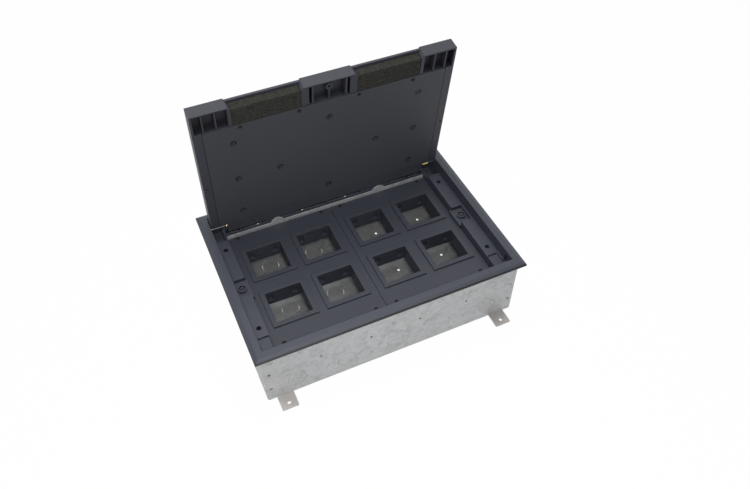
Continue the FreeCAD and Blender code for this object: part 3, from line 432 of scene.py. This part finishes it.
def dress_frame():
    """Gives every carried-over solid its finish, and returns the finishes by slot."""
    made = {slot: finish(slot, **values) for slot, (finish, values) in FINISHES.items()}
    for part in frame["record"]["subparts"]:
        dress(nodes[part["node"]].data, made[part["material_slot"]])
    return made


# ---------------------------------------------------------------- floor, background and light
def add_floor():
    """Plain white floor that keeps a faint shadow of the object."""
    mesh = bpy.data.meshes.new("floor")
    corners = ((-1, -1), (1, -1), (1, 1), (-1, 1))
    mesh.from_pydata([(x * FLOOR_REACH, y * FLOOR_REACH, 0) for x, y in corners], [], [(0, 1, 2, 3)])
    floor = put("floor", mesh)
    s = new_material("floor_white")
    diffuse = s.add("ShaderNodeBsdfDiffuse")
    s.set(diffuse, Color=(FLOOR_GREY, FLOOR_GREY, FLOOR_GREY, 1))
    glow = s.add("ShaderNodeEmission")
    s.set(glow, Color=(*WHITE, 1))
    s.show_either(s.maths("MULTIPLY", s.sees_background(), FLOOR_WHITE_SHARE), diffuse, glow)
    dress(mesh, s.owner)


def add_world():
    """White to the eye, and a soft light on the object that is strongest from above and behind."""
    world = bpy.data.worlds.new("studio")
    bpy.context.scene.world = world
    s = Shader(world, "ShaderNodeOutputWorld")
    side = s.agreement(s.place.outputs["Generated"], BRIGHT_SIDE)
    light = s.add("ShaderNodeBackground")
    s.set(light, Color=(*SKY_TINT, 1), Strength=s.spread(side, SKY_WEAKEST, SKY_STRONGEST, start=-1.0))
    seen = s.add("ShaderNodeBackground")
    s.set(seen, Color=(*WHITE, 1), Strength=1.0)
    s.show_either(s.sees_background(), light, seen)


def hang_lamp(data, place, target, power):
    """Hangs a lamp at a place and turns it to a target."""
    data.energy = power
    lamp = put(data.name, data)
    lamp.location = place
    lamp.rotation_euler = (Vector(target) - Vector(place)).to_track_quat("-Z", "Y").to_euler()


def add_softbox(name, place, target, size, power):
    data = bpy.data.lights.new(name, "AREA")
    data.shape = "SQUARE"
    data.size = size
    hang_lamp(data, place, target, power)


def add_spot(name, place, target, angle, power):
    data = bpy.data.lights.new(name, "SPOT")
    data.spot_size = math.radians(angle)
    data.spot_blend = 1.0
    data.shadow_soft_size = 0.08
    hang_lamp(data, place, target, power)


def add_lights():
    """A wide softbox overhead, a small one near the camera, and a soft spot on the open lid's inside."""
    add_softbox("top_softbox", (-0.05, 0.15, 1.6), (0, 0, 0.1), size=1.2, power=15.5)
    add_softbox("key_softbox", (-0.24, -0.70, 0.94), (0, 0, 0.06), size=0.13, power=5.4)
    add_spot("lid_wash", (-0.25, -0.90, 0.70), (0, 0.12, 0.07), angle=24.0, power=12.0)


# ---------------------------------------------------------------- pieces made from the solids
def bake_modifiers(piece):
    """Gives a piece the smooth-shaded mesh that its modifiers make, and returns it."""
    bpy.context.view_layer.update()
    made = bpy.data.meshes.new_from_object(piece.evaluated_get(bpy.context.evaluated_depsgraph_get()))
    piece.modifiers.clear()
    piece.data = made
    for face in made.polygons:
        face.use_smooth = True
    return made


def foam_pad(name, node, finish):
    """Block of open-cell foam with a crumbly skin, in the space of its solid."""
    pad = put(name, nodes[node].data.copy())
    remesh = pad.modifiers.new("cells", "REMESH")
    remesh.mode = "VOXEL"
    remesh.voxel_size = FOAM_VOXEL
    made = bake_modifiers(pad)
    normals = [v.normal.copy() for v in made.vertices]
    for vertex, normal in zip(made.vertices, normals):
        coarse = noise.noise(vertex.co * FOAM_LUMP_SCALE)
        fine = noise.noise(vertex.co * FOAM_PORE_SCALE + FOAM_PORE_SHIFT)
        depth = FOAM_SINK + FOAM_LUMP_DEPTH * max(0.0, coarse) + FOAM_PORE_DEPTH * max(0.0, fine)
        vertex.co -= normal * depth * MM
    dress(made, finish)
    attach(pad, "lid")
    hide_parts(node)


# ---------------------------------------------------------------- screw drives
def cross_outline(reach, width):
    """Corners of a plus sign."""
    half = width / 2
    corner = ((reach, -half), (reach, half), (half, half))
    points = []
    for quarter in range(4):
        cos, sin = math.cos(quarter * math.pi / 2), math.sin(quarter * math.pi / 2)
        points += [(x * cos - y * sin, x * sin + y * cos) for x, y in corner]
    return points


def hexagon_outline(reach):
    """Corners of a hexagon, each at the reach from its middle."""
    angles = [math.radians(60 * k) for k in range(6)]
    return [(reach * math.cos(angle), reach * math.sin(angle)) for angle in angles]


def welded_copy(mesh):
    """A copy of a mesh whose faces share their corners, so that it can be cut."""
    bm = bmesh.new()
    bm.from_mesh(mesh)
    bmesh.ops.remove_doubles(bm, verts=bm.verts, dist=WELD_DISTANCE)
    bmesh.ops.recalc_face_normals(bm, faces=bm.faces)
    copy = bpy.data.meshes.new(mesh.name + "_welded")
    bm.to_mesh(copy)
    bm.free()
    return copy


def screw_heads(mesh, face):
    """Middle of the outer face of each separate screw in a mesh, added up in the mesh's own order."""
    bm = bmesh.new()
    bm.from_mesh(mesh)
    left = set(bm.verts)
    heads = []
    while left:
        island = {left.pop()}
        frontier = list(island)
        while frontier:
            for edge in frontier.pop().link_edges:
                for vertex in edge.verts:
                    if vertex not in island:
                        island.add(vertex)
                        frontier.append(vertex)
        left -= island
        top = max(v.co.dot(face) for v in island)
        rim = [v.co for v in bm.verts if v in island and v.co.dot(face) > top - HEAD_FACE_DEPTH]
        heads.append(sum(rim, Vector()) / len(rim))
    bm.free()
    return sorted(heads, key=lambda head: (round(head.x, 4), round(head.y, 4)))


def drive_cutter(heads, face, outline, depth):
    """One mesh with a tapered recess tool at every head, each turned its own way."""
    turn = random.Random(len(heads))
    to_face = UP.rotation_difference(face).to_matrix().to_4x4()
    mouth = [Vector((x * DRIVE_MOUTH, y * DRIVE_MOUTH, DRIVE_OVERSHOOT)) for x, y in outline]
    bottom = [Vector((x * DRIVE_FLOOR, y * DRIVE_FLOOR, -depth)) for x, y in outline]
    bm = bmesh.new()
    for head in heads:
        place = Matrix.Translation(head) @ to_face @ Matrix.Rotation(turn.uniform(0, math.pi), 4, "Z")
        top = [bm.verts.new(place @ corner) for corner in mouth]
        low = [bm.verts.new(place @ corner) for corner in bottom]
        bm.faces.new(top)
        bm.faces.new(list(reversed(low)))
        for k in range(len(outline)):
            n = (k + 1) % len(outline)
            bm.faces.new((top[k], low[k], low[n], top[n]))
    bmesh.ops.recalc_face_normals(bm, faces=bm.faces)
    mesh = bpy.data.meshes.new("drive_cutter")
    bm.to_mesh(mesh)
    bm.free()
    return put("drive_cutter", mesh)


def driven_screws(node, body, face, outline, depth, finish):
    """The screws of one node with a drive recess sunk into every head."""
    piece = put(node + "_driven", welded_copy(nodes[node].data))
    cutter = drive_cutter(screw_heads(piece.data, face), face, outline, depth)
    boolean = piece.modifiers.new("drive", "BOOLEAN")
    boolean.operation = "DIFFERENCE"
    boolean.solver = "EXACT"
    boolean.object = cutter
    made = bake_modifiers(piece)
    dress(made, finish)
    made.set_sharp_from_angle(angle=SHARP_ANGLE)
    bpy.data.objects.remove(cutter, do_unlink=True)
    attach(piece, body)
    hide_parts(node)


def add_driven_screws(black):
    """Cross recesses in the small screws' heads, and hexagon sockets in the levelling screws."""
    worn = powder_coat("worn_black", linear(50, 51, 55), roughness=0.45)
    crosses = (
        ("lid_screws", "lid", LID_FACE, 2.2 * MM, 0.95 * MM, 1.3 * MM, worn),
        ("outlet_screws", "lid", LID_FACE, 1.4 * MM, 0.7 * MM, 0.8 * MM, black),
        ("frame_screws", "box", UP, 1.8 * MM, 0.9 * MM, 1.4 * MM, black),
        ("plate_screws", "box", UP, 1.5 * MM, 0.75 * MM, 0.9 * MM, black),
    )
    for node, body, face, reach, width, depth, finish in crosses:
        driven_screws(node, body, face, cross_outline(reach, width), depth, finish)
    driven_screws("levelling_screws", "box", UP, hexagon_outline(2.4 * MM), 1.9 * MM, worn)


# ---------------------------------------------------------------- build
bpy.context.scene.view_settings.view_transform = "Standard"
add_camera()
finishes = dress_frame()
add_floor()
add_world()
add_lights()
add_driven_screws(finishes["black_screw"])
for side in ("left", "right"):
    foam_pad("foam_" + side, "foam_pad_" + side, finishes["foam"])
